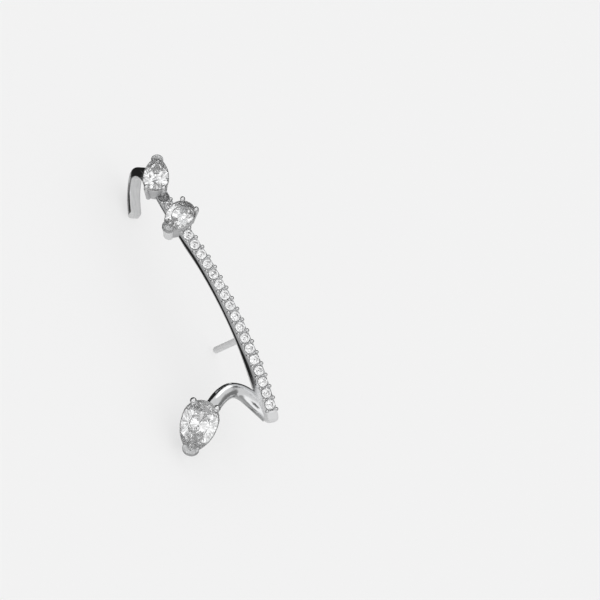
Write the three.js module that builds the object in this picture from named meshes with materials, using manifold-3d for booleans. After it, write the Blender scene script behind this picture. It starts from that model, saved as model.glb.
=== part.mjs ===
// Ear climber: a curved pavé bar with an ear hook, a post and three pear stones.
// Millimetres. It is modelled as worn (X across the ear, Y back to the head, Z up)
// and then laid down on its hook, post and lower setting.

import * as THREE from "three";
import { mergeVertices } from "three/addons/utils/BufferGeometryUtils.js";
import Module from "manifold-3d";

const wasm = await Module();
wasm.setup();

// ---------- sizes ----------

const BAR_WIDTH = 1.5;
const ARM_THICKNESS = 1.35;
const HOOK_WIDTH = 1.35;
const HOOK_THICKNESS = 1.2;
const POST_RADIUS = 0.4;
const POST_START = [5.15, 0.8, -3.15];
const POST_END_Y = 11.0;
const POST_CHAMFER = 0.15;

const PAVE_RADIUS = 0.6;
const PAVE_PITCH = 1.37;
const PAVE_SINK = 0.1;
const PAVE_CROWN = 0.2;
const PAVE_PAVILION = 0.5;
const PAVE_FIRST = 2.1;
const SEAT_GAP = 0.03;
const BEAD_RADIUS = 0.2;
const BEAD_RISE = 0.2;

const BASKET_DEPTH = 2.5;
const BASKET_WALL = 0.34;
const CLAW_RISE = 0.42;
const CLAW_ANGLE = THREE.MathUtils.degToRad(41);

// Centre line of the bar's front face from the top setting to the toe.
// depth is how far the bar reaches back from that face.
const BAR_STATIONS = [
  { x: -4.4, y: 4.35, z: 14.95, depth: 1.35 },
  { x: -3.99, y: 4.0, z: 14.01, depth: 1.35 },
  { x: -2.6, y: 2.9, z: 11.13, depth: 1.5 },
  { x: -0.95, y: 1.95, z: 8.28, depth: 2.05 },
  { x: 0.72, y: 1.2, z: 5.46, depth: 2.05 },
  { x: 2.45, y: 0.6, z: 2.2, depth: 2.05 },
  { x: 4.0, y: 0.2, z: -1.03, depth: 2.05 },
  { x: 5.4, y: 0.0, z: -4.13, depth: 2.3 },
  { x: 6.58, y: 0.0, z: -6.75, depth: 2.85 },
  { x: 7.43, y: 0.0, z: -9.04, depth: 3.0 },
  { x: 8.07, y: 0.0, z: -10.98, depth: 2.75 },
  { x: 8.46, y: 0.1, z: -12.35, depth: 2.2 },
  { x: 8.6, y: 0.15, z: -12.95, depth: 1.9 },
];

// Centre line of the tail arm from the toe to the lower setting, and its width.
const ARM_STATIONS = [
  { x: 8.4, y: 1.5, z: -12.0, width: 2.0 },
  { x: 7.6, y: 1.9, z: -11.1, width: 2.1 },
  { x: 6.57, y: 2.1, z: -10.2, width: 2.05 },
  { x: 5.5, y: 2.1, z: -9.5, width: 1.9 },
  { x: 4.58, y: 2.0, z: -9.22, width: 1.8 },
  { x: 3.66, y: 1.8, z: -9.33, width: 1.8 },
  { x: 2.76, y: 1.6, z: -9.88, width: 1.8 },
  { x: 1.97, y: 1.4, z: -10.69, width: 1.8 },
  { x: 1.38, y: 1.3, z: -11.55, width: 1.75 },
  { x: 1.05, y: 1.25, z: -12.25, width: 1.7 },
];

// Centre line of the ear hook from the top setting to its free end.
const HOOK_STATIONS = [
  { x: -4.39, y: 4.9, z: 14.59 },
  { x: -4.68, y: 5.9, z: 15.56 },
  { x: -4.93, y: 7.0, z: 16.36 },
  { x: -5.03, y: 8.3, z: 16.72 },
  { x: -5.05, y: 9.6, z: 16.5 },
  { x: -4.96, y: 10.5, z: 15.7 },
  { x: -4.92, y: 10.9, z: 14.53 },
  { x: -4.92, y: 10.8, z: 13.24 },
  { x: -4.96, y: 10.4, z: 12.1 },
];

// centre: middle of the girdle. face: where the table looks. tip: where the point is.
// blunt: how full the sides stay towards the point. claw: claw wire radius.
// vee: half width of the V-prong.
const PEARS = [
  {
    name: "top_pear_stone", length: 4.8, width: 3.05, blunt: 2.5, claw: 0.3, vee: 0.55,
    centre: [-4.69, 3.41, 15.8], face: [-0.304, -0.883, 0.358], tip: [0.172, 0.319, 0.932],
  },
  {
    name: "middle_pear_stone", length: 4.7, width: 3.1, blunt: 2.6, claw: 0.3, vee: 0.6,
    centre: [-2.62, 1.55, 10.61], face: [-0.227, -0.905, 0.359], tip: [-0.704, -0.102, -0.703],
  },
  {
    name: "lower_pear_stone", length: 6.6, width: 4.35, blunt: 2.6, claw: 0.4, vee: 0.85,
    centre: [-0.93, -0.5, -14.15], face: [-0.31, -0.945, 0.03], tip: [-0.304, 0.07, -0.95],
  },
];

// Where the lying climber touches down: hook, post tip and lower setting, as worn.
const FEET = [[-5.3, 11.0, 12.2], [5.0, 11.0, -3.3], [-1.4, 2.1, -15.5]]
  .map((foot) => new THREE.Vector3(...foot));
const FOOT_REACH = 2.5;
const LYING_UP_NEAR = new THREE.Vector3(0.494, -0.805, 0.329);

// ---------- materials ----------

const whiteMetal = { color: 0xd6d8da, roughness: 0.12, metalness: 1.0 };
const clearStone = { color: 0xf2f5f7, roughness: 0.03, metalness: 0.0 };

// ---------- solids ----------

function bareGeometry(positions, index) {
  const geometry = new THREE.BufferGeometry();
  geometry.setAttribute("position", new THREE.Float32BufferAttribute(positions, 3));
  geometry.setIndex(index);
  return geometry;
}

function solidOf(geometry) {
  const bare = geometry.clone();
  for (const name of Object.keys(bare.attributes)) {
    if (name !== "position") bare.deleteAttribute(name);
  }
  const merged = mergeVertices(bare, 1e-4);
  return new wasm.Manifold(new wasm.Mesh({
    numProp: 3,
    vertProperties: Float32Array.from(merged.attributes.position.array),
    triVerts: Uint32Array.from(merged.index.array),
  }));
}

function geometryOf(solid) {
  const mesh = solid.getMesh();
  const geometry = bareGeometry(Array.from(mesh.vertProperties), Array.from(mesh.triVerts));
  geometry.computeVertexNormals();
  return geometry;
}

// Skins rings of equal point counts. Each ring turns left about the way the rings go.
function loft(rings, closed = false) {
  const sides = rings[0].length;
  const positions = rings.flatMap((ring) => ring.flatMap((p) => [p.x, p.y, p.z]));
  const index = [];
  const spans = closed ? rings.length : rings.length - 1;
  for (let i = 0; i < spans; i += 1) {
    const near = i * sides;
    const far = ((i + 1) % rings.length) * sides;
    for (let j = 0; j < sides; j += 1) {
      const k = (j + 1) % sides;
      index.push(near + j, near + k, far + k);
      index.push(near + j, far + k, far + j);
    }
  }
  if (!closed) {
    const last = (rings.length - 1) * sides;
    for (const [base, turn] of [[0, false], [last, true]]) {
      const ring = rings[base / sides];
      const middle = ring.reduce((sum, p) => sum.add(p), new THREE.Vector3());
      middle.multiplyScalar(1 / sides);
      const hub = positions.length / 3;
      positions.push(middle.x, middle.y, middle.z);
      for (let j = 0; j < sides; j += 1) {
        const k = (j + 1) % sides;
        if (turn) index.push(hub, base + j, base + k);
        else index.push(hub, base + k, base + j);
      }
    }
  }
  return bareGeometry(positions, index);
}

function curveThrough(stations) {
  return new THREE.CatmullRomCurve3(
    stations.map((s) => new THREE.Vector3(s.x, s.y, s.z)), false, "centripetal",
  );
}

// Point, direction, front and side of a curve at a share u of its length.
function frameAt(curve, u, front) {
  const point = curve.getPointAt(u);
  const along = curve.getTangentAt(u);
  const out = front.clone().addScaledVector(along, -front.dot(along)).normalize();
  const side = new THREE.Vector3().crossVectors(out, along);
  return { point, along, out, side };
}

// A station's size, such as its width, at a share u of the curve's length.
function sizeAt(curve, stations, size, u) {
  const at = curve.getUtoTmapping(u) * (stations.length - 1);
  const low = Math.min(Math.floor(at), stations.length - 2);
  return THREE.MathUtils.lerp(stations[low][size], stations[low + 1][size], at - low);
}

function ringAt(frame, section) {
  return section.map(([across, up]) => frame.point.clone()
    .addScaledVector(frame.side, across)
    .addScaledVector(frame.out, up));
}

function placed(geometry, origin, xAxis, yAxis, zAxis) {
  const matrix = new THREE.Matrix4().makeBasis(xAxis, yAxis, zAxis).setPosition(origin);
  return geometry.clone().applyMatrix4(matrix);
}

const FRONT = new THREE.Vector3(0, -1, 0);

// ---------- bar ----------

const barCurve = curveThrough(BAR_STATIONS);
const barLength = barCurve.getLength();

function barDepthAt(u) {
  return sizeAt(barCurve, BAR_STATIONS, "depth", u);
}

function barSection(width, depth) {
  const half = width / 2;
  return [
    [half, -0.1], [half - 0.1, 0], [-half + 0.1, 0], [-half, -0.1],
    [-half, -depth * 0.72], [-half * 0.72, -depth * 0.95], [0, -depth],
    [half * 0.72, -depth * 0.95], [half, -depth * 0.72],
  ];
}

function barSolid() {
  const rings = [];
  const steps = 24;
  const toe = [
    { back: 0.62, width: 1.0, depth: 1.0, lift: 0 },
    { back: 0.3, width: 0.92, depth: 0.95, lift: -0.05 },
    { back: 0.08, width: 0.7, depth: 0.8, lift: -0.18 },
    { back: 0.0, width: 0.42, depth: 0.55, lift: -0.36 },
  ];
  for (let i = 0; i < steps; i += 1) {
    const u = (i / steps) * (1 - 0.62 / barLength);
    rings.push(ringAt(frameAt(barCurve, u, FRONT), barSection(BAR_WIDTH, barDepthAt(u))));
  }
  for (const part of toe) {
    const u = 1 - part.back / barLength;
    const section = barSection(BAR_WIDTH * part.width, barDepthAt(u) * part.depth);
    rings.push(ringAt(frameAt(barCurve, u, FRONT), section.map(([a, b]) => [a, b + part.lift])));
  }
  return solidOf(loft(rings));
}

// ---------- arm, hook and post ----------

function ovalSection(width, thickness, { sides = 12, square = 0.75 } = {}) {
  return Array.from({ length: sides }, (_, k) => {
    const turn = (k / sides) * Math.PI * 2;
    const bulge = (value) => Math.sign(value) * Math.abs(value) ** square;
    return [bulge(Math.cos(turn)) * width / 2, bulge(Math.sin(turn)) * thickness / 2];
  });
}

function armSolid() {
  const curve = curveThrough(ARM_STATIONS);
  const rings = [];
  const steps = 20;
  for (let i = 0; i <= steps; i += 1) {
    const width = sizeAt(curve, ARM_STATIONS, "width", i / steps);
    rings.push(ringAt(frameAt(curve, i / steps, FRONT), ovalSection(width, ARM_THICKNESS)));
  }
  return solidOf(loft(rings));
}

// The hook's wide side always looks out of its bend, so its front turns with it.
function hookSolid() {
  const curve = curveThrough(HOOK_STATIONS);
  const rings = [];
  const steps = 18;
  const side = new THREE.Vector3(1, 0, 0);
  const ring = (point, along, scale) => {
    const flat = side.clone().addScaledVector(along, -side.dot(along)).normalize();
    const out = new THREE.Vector3().crossVectors(along, flat);
    const section = ovalSection(HOOK_WIDTH * scale, HOOK_THICKNESS * scale, { square: 0.45 });
    return ringAt({ point, side: flat, out }, section);
  };
  for (let i = 0; i <= steps; i += 1) {
    rings.push(ring(curve.getPointAt(i / steps), curve.getTangentAt(i / steps), 1));
  }
  const end = curve.getPointAt(1);
  const along = curve.getTangentAt(1);
  for (const [ahead, scale] of [[0.22, 0.85], [0.36, 0.5]]) {
    rings.push(ring(end.clone().addScaledVector(along, ahead), along, scale));
  }
  return solidOf(loft(rings));
}

function postSolid() {
  const length = POST_END_Y - POST_START[1];
  const profile = [
    [0, 0], [POST_RADIUS, 0], [POST_RADIUS, length - POST_CHAMFER],
    [POST_RADIUS - POST_CHAMFER, length], [0, length],
  ].map(([r, h]) => new THREE.Vector2(r, h));
  const post = new THREE.LatheGeometry(profile, 12);
  post.translate(...POST_START);
  return solidOf(post);
}

// ---------- pear stones and their settings ----------

// Half width of a pear at y, measured from the middle of its length. The tip is at +y.
function pearHalfWidth(y, { length, width, blunt }) {
  const radius = width / 2;
  const round = -length / 2 + radius;
  if (y <= round) return Math.sqrt(Math.max(0, radius ** 2 - (y - round) ** 2));
  return radius * (1 - ((y - round) / (length / 2 - round)) ** blunt);
}

// Outline of a pear, turning left, the first point at the tip.
function pearOutline(pear, room = 0) {
  const arcPoints = 5;
  const sidePoints = 4;
  const length = pear.length + room * 3;
  const width = pear.width + room * 2;
  const radius = width / 2;
  const round = -length / 2 + radius;
  const half = [];
  for (let i = 1; i <= sidePoints; i += 1) {
    const y = THREE.MathUtils.lerp(length / 2, round, i / (sidePoints + 1));
    half.push([-pearHalfWidth(y, { length, width, blunt: pear.blunt }), y]);
  }
  for (let i = 0; i < arcPoints; i += 1) {
    const turn = (i / arcPoints) * (Math.PI / 2);
    half.push([-radius * Math.cos(turn), round - radius * Math.sin(turn)]);
  }
  const mirrored = half.map(([x, y]) => [-x, y]).reverse();
  return [[0, length / 2], ...half, [0, -length / 2], ...mirrored];
}

function ringOf(outline, scale, z, shift = 0) {
  return outline.map(([x, y]) => new THREE.Vector3(x * scale, y * scale + shift, z));
}

// A brilliant over an outline of an even count: table, stars, kites, halves and pavilion.
function brilliant(outline, cut) {
  const count = outline.length;
  const mains = count / 2;
  const positions = [];
  const index = [];
  const add = (x, y, z) => positions.push(x, y, z) / 3 - 1;
  const top = outline.map(([x, y]) => add(x, y, cut.girdle / 2));
  const bottom = outline.map(([x, y]) => add(x, y, -cut.girdle / 2));
  const table = [];
  const crown = [];
  const keel = [];
  for (let i = 0; i < mains; i += 1) {
    const [x, y] = outline[2 * i];
    const [ox, oy] = outline[2 * i + 1];
    table.push(add(x * cut.table, y * cut.table, cut.crown));
    crown.push(add(ox * cut.star, oy * cut.star, cut.crown * cut.starLift));
    keel.push(add(ox * cut.lower, oy * cut.lower, -cut.pavilion * (1 - cut.lower) * 1.04));
  }
  const culet = add(0, cut.culetShift, -cut.pavilion);
  const heart = add(0, 0, cut.crown);
  for (let i = 0; i < mains; i += 1) {
    const next = (i + 1) % mains;
    const back = (i + mains - 1) % mains;
    const main = 2 * i;
    const odd = 2 * i + 1;
    const after = (2 * i + 2) % count;
    index.push(heart, table[i], table[next]);
    index.push(table[i], crown[i], table[next]);
    index.push(table[i], top[main], crown[i]);
    index.push(table[i], crown[back], top[main]);
    index.push(crown[i], top[main], top[odd]);
    index.push(crown[i], top[odd], top[after]);
    index.push(keel[i], bottom[odd], bottom[main]);
    index.push(keel[i], bottom[after], bottom[odd]);
    index.push(culet, keel[i], bottom[main]);
    index.push(culet, bottom[main], keel[back]);
  }
  for (let k = 0; k < count; k += 1) {
    const n = (k + 1) % count;
    index.push(top[k], bottom[k], bottom[n]);
    index.push(top[k], bottom[n], top[n]);
  }
  return bareGeometry(positions, index);
}

function pearCut(pear, grow = 0) {
  return {
    girdle: 0.12 + grow * 2,
    table: 0.56,
    star: 0.8,
    starLift: 0.62,
    lower: 0.42,
    crown: pear.width * 0.17 + grow,
    pavilion: pear.width * 0.42 + grow,
    culetShift: -pear.length * 0.08,
  };
}

function pearAxes(pear) {
  const face = new THREE.Vector3(...pear.face).normalize();
  const tip = new THREE.Vector3(...pear.tip);
  tip.addScaledVector(face, -tip.dot(face)).normalize();
  return { side: new THREE.Vector3().crossVectors(tip, face), tip, face };
}

function pearPlaced(pear, geometry) {
  const axes = pearAxes(pear);
  return placed(geometry, new THREE.Vector3(...pear.centre), axes.side, axes.tip, axes.face);
}

function pearStone(pear) {
  return brilliant(pearOutline(pear), pearCut(pear));
}

// The stone with a little room round it, which the setting is cut with.
function pearCutter(pear) {
  const room = 0.04;
  return brilliant(pearOutline(pear, room), pearCut(pear, room));
}

// Scale of the basket's outline at a height z under the girdle.
function basketScale(z) {
  return THREE.MathUtils.lerp(0.98, 0.82, -z / BASKET_DEPTH);
}

function basket(pear) {
  const outline = pearOutline(pear);
  const wall = BASKET_WALL / (pear.width / 2);
  const levels = [-BASKET_DEPTH, -BASKET_DEPTH * 0.5, -0.1];
  const outer = levels.map((z) => ringOf(outline, basketScale(z), z));
  const inner = levels.map((z) => ringOf(outline, basketScale(z) - wall, z)).reverse();
  return solidOf(loft([...outer, ...inner], true));
}

function clawSolid(pear, sign) {
  const radius = pear.width / 2;
  const round = -pear.length / 2 + radius;
  const aim = new THREE.Vector3(sign * Math.sin(CLAW_ANGLE), -Math.cos(CLAW_ANGLE), 0);
  const at = (reach, z) => new THREE.Vector3(0, round, z).addScaledVector(aim, radius * reach);
  const points = [
    at(0.8, -BASKET_DEPTH * 0.97),
    at(0.9, -BASKET_DEPTH * 0.55),
    at(1.02, -0.5),
    at(1.07, 0.05),
    at(1.0, CLAW_RISE),
  ];
  const curve = new THREE.CatmullRomCurve3(points);
  const rings = [];
  const steps = 7;
  for (let i = 0; i <= steps; i += 1) {
    const frame = frameAt(curve, i / steps, aim);
    rings.push(ringAt(frame, ovalSection(pear.claw * 1.9, pear.claw * 1.9, { sides: 8 })));
  }
  const ball = new THREE.SphereGeometry(pear.claw * 1.05, 9, 6);
  ball.rotateX(Math.PI / 2);
  ball.translate(...points[4].toArray());
  return solidOf(loft(rings)).add(solidOf(ball));
}

function veeSolid(pear) {
  const tip = pear.length / 2;
  let down = tip;
  while (pearHalfWidth(down, pear) < pear.vee) down -= 0.02;
  const outside = 0.16;
  const inside = 0.2;
  const cap = Array.from({ length: 9 }, (_, k) => {
    const turn = (k / 8) * Math.PI;
    const across = Math.sign(Math.cos(turn)) * Math.abs(Math.cos(turn)) ** 0.9;
    return [across * (pear.vee + outside), down + Math.sin(turn) ** 1.1 * (tip + outside * 0.7 - down)];
  });
  const section = [
    ...cap,
    [-pear.vee + inside * 0.8, down - inside * 0.5], [0, tip - inside * 2],
    [pear.vee - inside * 0.8, down - inside * 0.5],
  ];
  const levels = [
    { z: -BASKET_DEPTH, scale: basketScale(-BASKET_DEPTH) },
    { z: -BASKET_DEPTH * 0.5, scale: basketScale(-BASKET_DEPTH * 0.5) },
    { z: -0.3, scale: 1.0 },
    { z: 0.14, scale: 1.0 },
    { z: 0.3, scale: 0.95 },
  ];
  return solidOf(loft(levels.map(({ z, scale }) => ringOf(section, scale, z))));
}

// ---------- pavé ----------

const middlePear = PEARS[1];
const topPear = PEARS[0];

function paveFrames() {
  const frames = [];
  for (let reach = PAVE_FIRST; reach < barLength - 1.2; reach += PAVE_PITCH) {
    const frame = frameAt(barCurve, 1 - reach / barLength, FRONT);
    const clearOf = (pear) => frame.point.distanceTo(new THREE.Vector3(...pear.centre));
    if (clearOf(middlePear) > 2.3 && clearOf(topPear) > 2.6) frames.push({ ...frame, reach });
  }
  return frames;
}

function roundOutline(radius, count) {
  return Array.from({ length: count }, (_, k) => {
    const turn = Math.PI / 2 + (k / count) * Math.PI * 2;
    return [radius * Math.cos(turn), radius * Math.sin(turn)];
  });
}

function paveStone() {
  return brilliant(roundOutline(PAVE_RADIUS, 16), {
    girdle: 0.05, table: 0.56, star: 0.8, starLift: 0.58, lower: 0.36,
    crown: PAVE_CROWN, pavilion: PAVE_PAVILION, culetShift: 0,
  });
}

function seatCutter() {
  const radius = PAVE_RADIUS + SEAT_GAP * 2;
  const profile = [
    [0, -PAVE_PAVILION - 0.12], [radius, -0.06], [radius, 0.6], [0, 0.6],
  ].map(([r, h]) => new THREE.Vector2(r, h));
  const cutter = new THREE.LatheGeometry(profile, 12);
  cutter.rotateX(Math.PI / 2);
  return cutter;
}

function beadGeometry() {
  const profile = [
    [0, -0.25], [BEAD_RADIUS, -0.25], [BEAD_RADIUS, BEAD_RISE * 0.35],
    [BEAD_RADIUS * 0.55, BEAD_RISE], [0, BEAD_RISE * 1.1],
  ].map(([r, h]) => new THREE.Vector2(r, h));
  const bead = new THREE.LatheGeometry(profile, 8);
  bead.rotateX(Math.PI / 2);
  return bead;
}

function paveSunk(frame) {
  return frame.point.clone().addScaledVector(frame.out, -PAVE_SINK);
}

// ---------- assembly ----------

const paves = paveFrames();

function beadSolids() {
  const bead = beadGeometry();
  const solids = [];
  const reaches = new Set();
  for (const frame of paves) {
    reaches.add((frame.reach - PAVE_PITCH / 2).toFixed(3));
    reaches.add((frame.reach + PAVE_PITCH / 2).toFixed(3));
  }
  for (const reach of reaches) {
    const frame = frameAt(barCurve, 1 - Number(reach) / barLength, FRONT);
    for (const sign of [-1, 1]) {
      const origin = frame.point.clone().addScaledVector(frame.side, sign * BAR_WIDTH * 0.37);
      solids.push(solidOf(placed(bead, origin, frame.side, frame.along.clone().negate(), frame.out)));
    }
  }
  return solids;
}

function frameSolid() {
  let metal = barSolid();
  metal = metal.add(armSolid());
  metal = metal.add(hookSolid());
  metal = metal.add(postSolid());
  for (const pear of PEARS) {
    metal = metal.add(solidOf(pearPlaced(pear, geometryOf(
      basket(pear).add(clawSolid(pear, 1)).add(clawSolid(pear, -1)).add(veeSolid(pear)),
    ))));
  }
  for (const bead of beadSolids()) metal = metal.add(bead);
  const seat = seatCutter();
  for (const frame of paves) {
    const up = frame.along.clone().negate();
    metal = metal.subtract(solidOf(placed(seat, paveSunk(frame), frame.side, up, frame.out)));
  }
  for (const pear of PEARS) metal = metal.subtract(solidOf(pearPlaced(pear, pearCutter(pear))));
  return metal;
}

function named(name, geometry, look) {
  const mesh = new THREE.Mesh(geometry, new THREE.MeshStandardMaterial(look));
  mesh.name = name;
  return mesh;
}

const worn = new THREE.Group();
worn.add(named("climber_frame", geometryOf(frameSolid()), whiteMetal));
for (const pear of PEARS) {
  const axes = pearAxes(pear);
  const stone = named(pear.name, pearStone(pear), { ...clearStone });
  stone.quaternion.setFromRotationMatrix(
    new THREE.Matrix4().makeBasis(axes.side, axes.tip, axes.face),
  );
  stone.position.set(...pear.centre);
  worn.add(stone);
}
paves.forEach((frame, i) => {
  const name = `pave_stone_${String(i + 1).padStart(2, "0")}`;
  const stone = named(name, paveStone(), { ...clearStone });
  const up = frame.along.clone().negate();
  stone.quaternion.setFromRotationMatrix(
    new THREE.Matrix4().makeBasis(frame.side, up, frame.out),
  );
  stone.position.copy(paveSunk(frame));
  worn.add(stone);
});

// ---------- lying down ----------

// Direction that points up through the feet once each is at its lowest point.
function lyingUp(points) {
  const up = LYING_UP_NEAR.clone();
  for (let pass = 0; pass < 8; pass += 1) {
    const feet = FEET.map((foot) => {
      const close = points.filter((p) => p.distanceTo(foot) < FOOT_REACH);
      return close.reduce((low, p) => (p.dot(up) < low.dot(up) ? p : low));
    });
    const edge = feet[1].clone().sub(feet[0]);
    const plane = edge.cross(feet[2].clone().sub(feet[0])).normalize();
    const turn = Math.sign(plane.dot(up));
    up.copy(plane).multiplyScalar(turn);
  }
  return up;
}

function pointsOf(mesh) {
  mesh.updateMatrix();
  const place = mesh.geometry.attributes.position;
  return Array.from({ length: place.count }, (_, i) => (
    new THREE.Vector3().fromBufferAttribute(place, i).applyMatrix4(mesh.matrix)
  ));
}

const up = lyingUp(pointsOf(worn.children[0]));
const ahead = barCurve.getPointAt(0).sub(barCurve.getPointAt(1));
ahead.addScaledVector(up, -ahead.dot(up)).normalize();
const across = new THREE.Vector3().crossVectors(ahead, up);
worn.quaternion.setFromRotationMatrix(new THREE.Matrix4().makeBasis(across, ahead, up).transpose());
worn.updateMatrix();
const bounds = new THREE.Box3().setFromPoints(
  worn.children.flatMap(pointsOf).map((p) => p.applyMatrix4(worn.matrix)),
);
const middle = bounds.getCenter(new THREE.Vector3());
worn.position.set(-middle.x, -middle.y, -bounds.min.z);

const group = new THREE.Group();
group.add(worn);

export default group;
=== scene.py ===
import math

import bmesh
import bpy
import numpy as np
from mathutils import Matrix, Vector


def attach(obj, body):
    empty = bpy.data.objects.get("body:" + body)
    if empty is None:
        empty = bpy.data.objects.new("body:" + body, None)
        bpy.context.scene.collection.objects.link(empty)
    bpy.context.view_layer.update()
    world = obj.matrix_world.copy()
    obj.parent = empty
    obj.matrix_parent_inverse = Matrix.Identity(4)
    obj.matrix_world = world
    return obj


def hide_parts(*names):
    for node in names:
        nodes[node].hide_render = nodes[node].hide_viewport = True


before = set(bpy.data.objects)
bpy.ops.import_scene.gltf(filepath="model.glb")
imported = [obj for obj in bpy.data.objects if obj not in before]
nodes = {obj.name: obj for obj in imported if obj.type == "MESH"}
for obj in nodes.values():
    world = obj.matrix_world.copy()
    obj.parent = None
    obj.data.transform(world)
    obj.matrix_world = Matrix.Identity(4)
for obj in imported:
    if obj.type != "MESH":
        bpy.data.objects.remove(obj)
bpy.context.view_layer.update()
mm = 0.001
print("frame loaded:", len(nodes), "solids")

# The climber is drawn as it is worn, in millimetres: x across the ear,
# y back to the head, z up. layDown() puts a point where the solids lie.
frontWay = np.array([0.0, -1.0, 0.0])

pears = {
    # blunt: how full a pear stays towards its tip; claw: a claw's radius; vee: half the tip prong's width
    "top": {
        "node": "top_pear_stone", "length": 4.8, "width": 3.05, "blunt": 2.5, "claw": 0.30, "vee": 0.55,
        "cut": "small",
    },
    "middle": {
        "node": "middle_pear_stone", "length": 4.7, "width": 3.1, "blunt": 2.6, "claw": 0.30, "vee": 0.6,
        "cut": "small",
    },
    "lower": {
        "node": "lower_pear_stone", "length": 6.6, "width": 4.35, "blunt": 2.6, "claw": 0.40, "vee": 0.85,
        "cut": "large",
        "centre": (-0.93, -0.5, -14.15), "face": (-0.31, -0.945, 0.03), "tip": (-0.304, 0.07, -0.95),
    },
}


# where things lie

def unit(v):
    v = np.asarray(v, float)
    return v / np.linalg.norm(v)


def square(v, axis):
    # v with its share along axis taken out
    return unit(v - axis * np.dot(v, axis))


def smoothStep(x):
    x = np.clip(x, 0, 1)
    return x * x * (3 - 2 * x)


def between(low, high, share):
    return low + (high - low) * share


def turnsOf(sides):
    # even turns round a full circle
    return np.linspace(0, 2 * math.pi, sides + 1)[:-1]


def readStone(node):
    # girdle middle, side, tip and face of a cut stone, read from its solid
    mesh = nodes[node].data
    points = np.array([v.co for v in mesh.vertices], float)
    ways = np.array([face.normal for face in mesh.polygons], float)
    areas = np.array([face.area for face in mesh.polygons])
    middles = np.array([face.center for face in mesh.polygons], float)
    # the table is the largest flat
    flats = ways @ ways.T > 0.9999
    flat = flats[(flats @ areas).argmax()]
    table = (middles * areas[:, None])[flat].sum(0) / areas[flat].sum()
    axis = unit((ways * areas[:, None])[flat].sum(0))
    spokes = points - table
    spokes = spokes - np.outer(spokes @ axis, axis)
    reach = np.linalg.norm(spokes, axis=1)
    tip = unit(spokes[reach.argmax()])
    along = points @ tip
    ends = [points[along > along.max() - 1e-6].mean(0), points[along < along.min() + 1e-6].mean(0)]
    centre = (ends[0] + ends[1]) / 2
    return {"centre": centre, "side": np.cross(tip, axis), "tip": tip, "face": axis}


for pear in pears.values():
    pear.update(place=readStone(pear["node"]))


def layingMatrix():
    # turns and moves worn millimetres to where the lower stone lies
    pear = pears["lower"]
    face = unit(pear["face"])
    tip = square(np.array(pear["tip"]), face)
    worn = np.column_stack([np.cross(tip, face), tip, face])
    place = pear["place"]
    lying = np.column_stack([place["side"], place["tip"], place["face"]])
    turn = lying @ worn.T
    return turn, place["centre"] - turn @ np.array(pear["centre"]) * mm


layTurn, layShift = layingMatrix()


def layDown(points):
    return np.asarray(points, float) @ layTurn.T * mm + layShift


def layWay(v):
    return layTurn @ np.asarray(v, float)


# paths

def pathThrough(stations, perSpan=40):
    # centripetal curve through the stations, as rows of x, y, z and what follows them
    p = np.array(stations, float)
    p = np.vstack([2 * p[0] - p[1], p, 2 * p[-1] - p[-2]])
    rows = []
    for i in range(1, len(p) - 2):
        a, b, c, d = p[i - 1:i + 3]
        g = [max(np.linalg.norm((v - u)[:3]) ** 0.5, 1e-6) for u, v in ((a, b), (b, c), (c, d))]
        m = (b - a) / g[0] - (c - a) / (g[0] + g[1]) + (c - b) / g[1]
        n = (c - b) / g[1] - (d - b) / (g[1] + g[2]) + (d - c) / g[2]
        m, n = m * g[1], n * g[1]
        for t in np.arange(perSpan) / perSpan:
            rows.append(
                (2 * t**3 - 3 * t**2 + 1) * b + (t**3 - 2 * t**2 + t) * m
                + (3 * t**2 - 2 * t**3) * c + (t**3 - t**2) * n
            )
    rows.append(p[-2])
    return np.array(rows)


def pathLength(path):
    return np.linalg.norm(np.diff(path[:, :3], axis=0), axis=1).sum()


def pointsAt(path, lengths):
    # rows of the path at these lengths from its start, and the way it runs there
    steps = np.linalg.norm(np.diff(path[:, :3], axis=0), axis=1)
    run = np.concatenate([[0], np.cumsum(steps)])
    at = np.column_stack([np.interp(lengths, run, path[:, k]) for k in range(path.shape[1])])
    slope = np.gradient(path[:, :3], run, axis=0)
    ways = np.column_stack([np.interp(lengths, run, slope[:, k]) for k in range(3)])
    return at, ways / np.linalg.norm(ways, axis=1)[:, None]


# meshes

def ringMesh(rings, closed=False):
    # skins rings of equal counts; a run that isn't closed gets its ends filled
    count = len(rings[0])
    points = np.vstack(rings)
    faces = []
    spans = len(rings) if closed else len(rings) - 1
    for i in range(spans):
        a, b = i * count, ((i + 1) % len(rings)) * count
        for j in range(count):
            k = (j + 1) % count
            faces.append((a + j, a + k, b + k, b + j))
    if not closed:
        hubs = [rings[0].mean(0), rings[-1].mean(0)]
        points = np.vstack([points, hubs])
        last = (len(rings) - 1) * count
        for hub, base in ((len(points) - 2, 0), (len(points) - 1, last)):
            for j in range(count):
                faces.append((hub, base + j, base + (j + 1) % count))
    return points, faces


def newPiece(name, parts, materials, sharp=40):
    # one mesh piece from worn-frame parts, laid down, its faces turned outwards
    # a part is points, faces, and then, where it has them, each face's material and each point's grain
    made = bmesh.new()
    grain = made.verts.layers.float_vector.new("grain") if len(parts[0]) > 3 else None
    for points, faces, *more in parts:
        part = [made.verts.new(p) for p in layDown(points)]
        if grain:
            for vertex, along in zip(part, more[1]):
                vertex[grain] = Vector(along) * mm
        for k, face in enumerate(faces):
            made.faces.new([part[i] for i in face]).material_index = more[0][k] if more else 0
    bmesh.ops.remove_doubles(made, verts=made.verts, dist=1e-8)
    bmesh.ops.recalc_face_normals(made, faces=made.faces)
    return finishPiece(name, made, materials, sharp)


def finishPiece(name, made, materials, sharp=40):
    mesh = bpy.data.meshes.new(name)
    made.to_mesh(mesh)
    made.free()
    for material in materials:
        mesh.materials.append(material)
    if sharp:
        mesh.shade_smooth()
        mesh.set_sharp_from_angle(angle=math.radians(sharp))
    piece = bpy.data.objects.new(name, mesh)
    bpy.context.scene.collection.objects.link(piece)
    return piece


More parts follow.
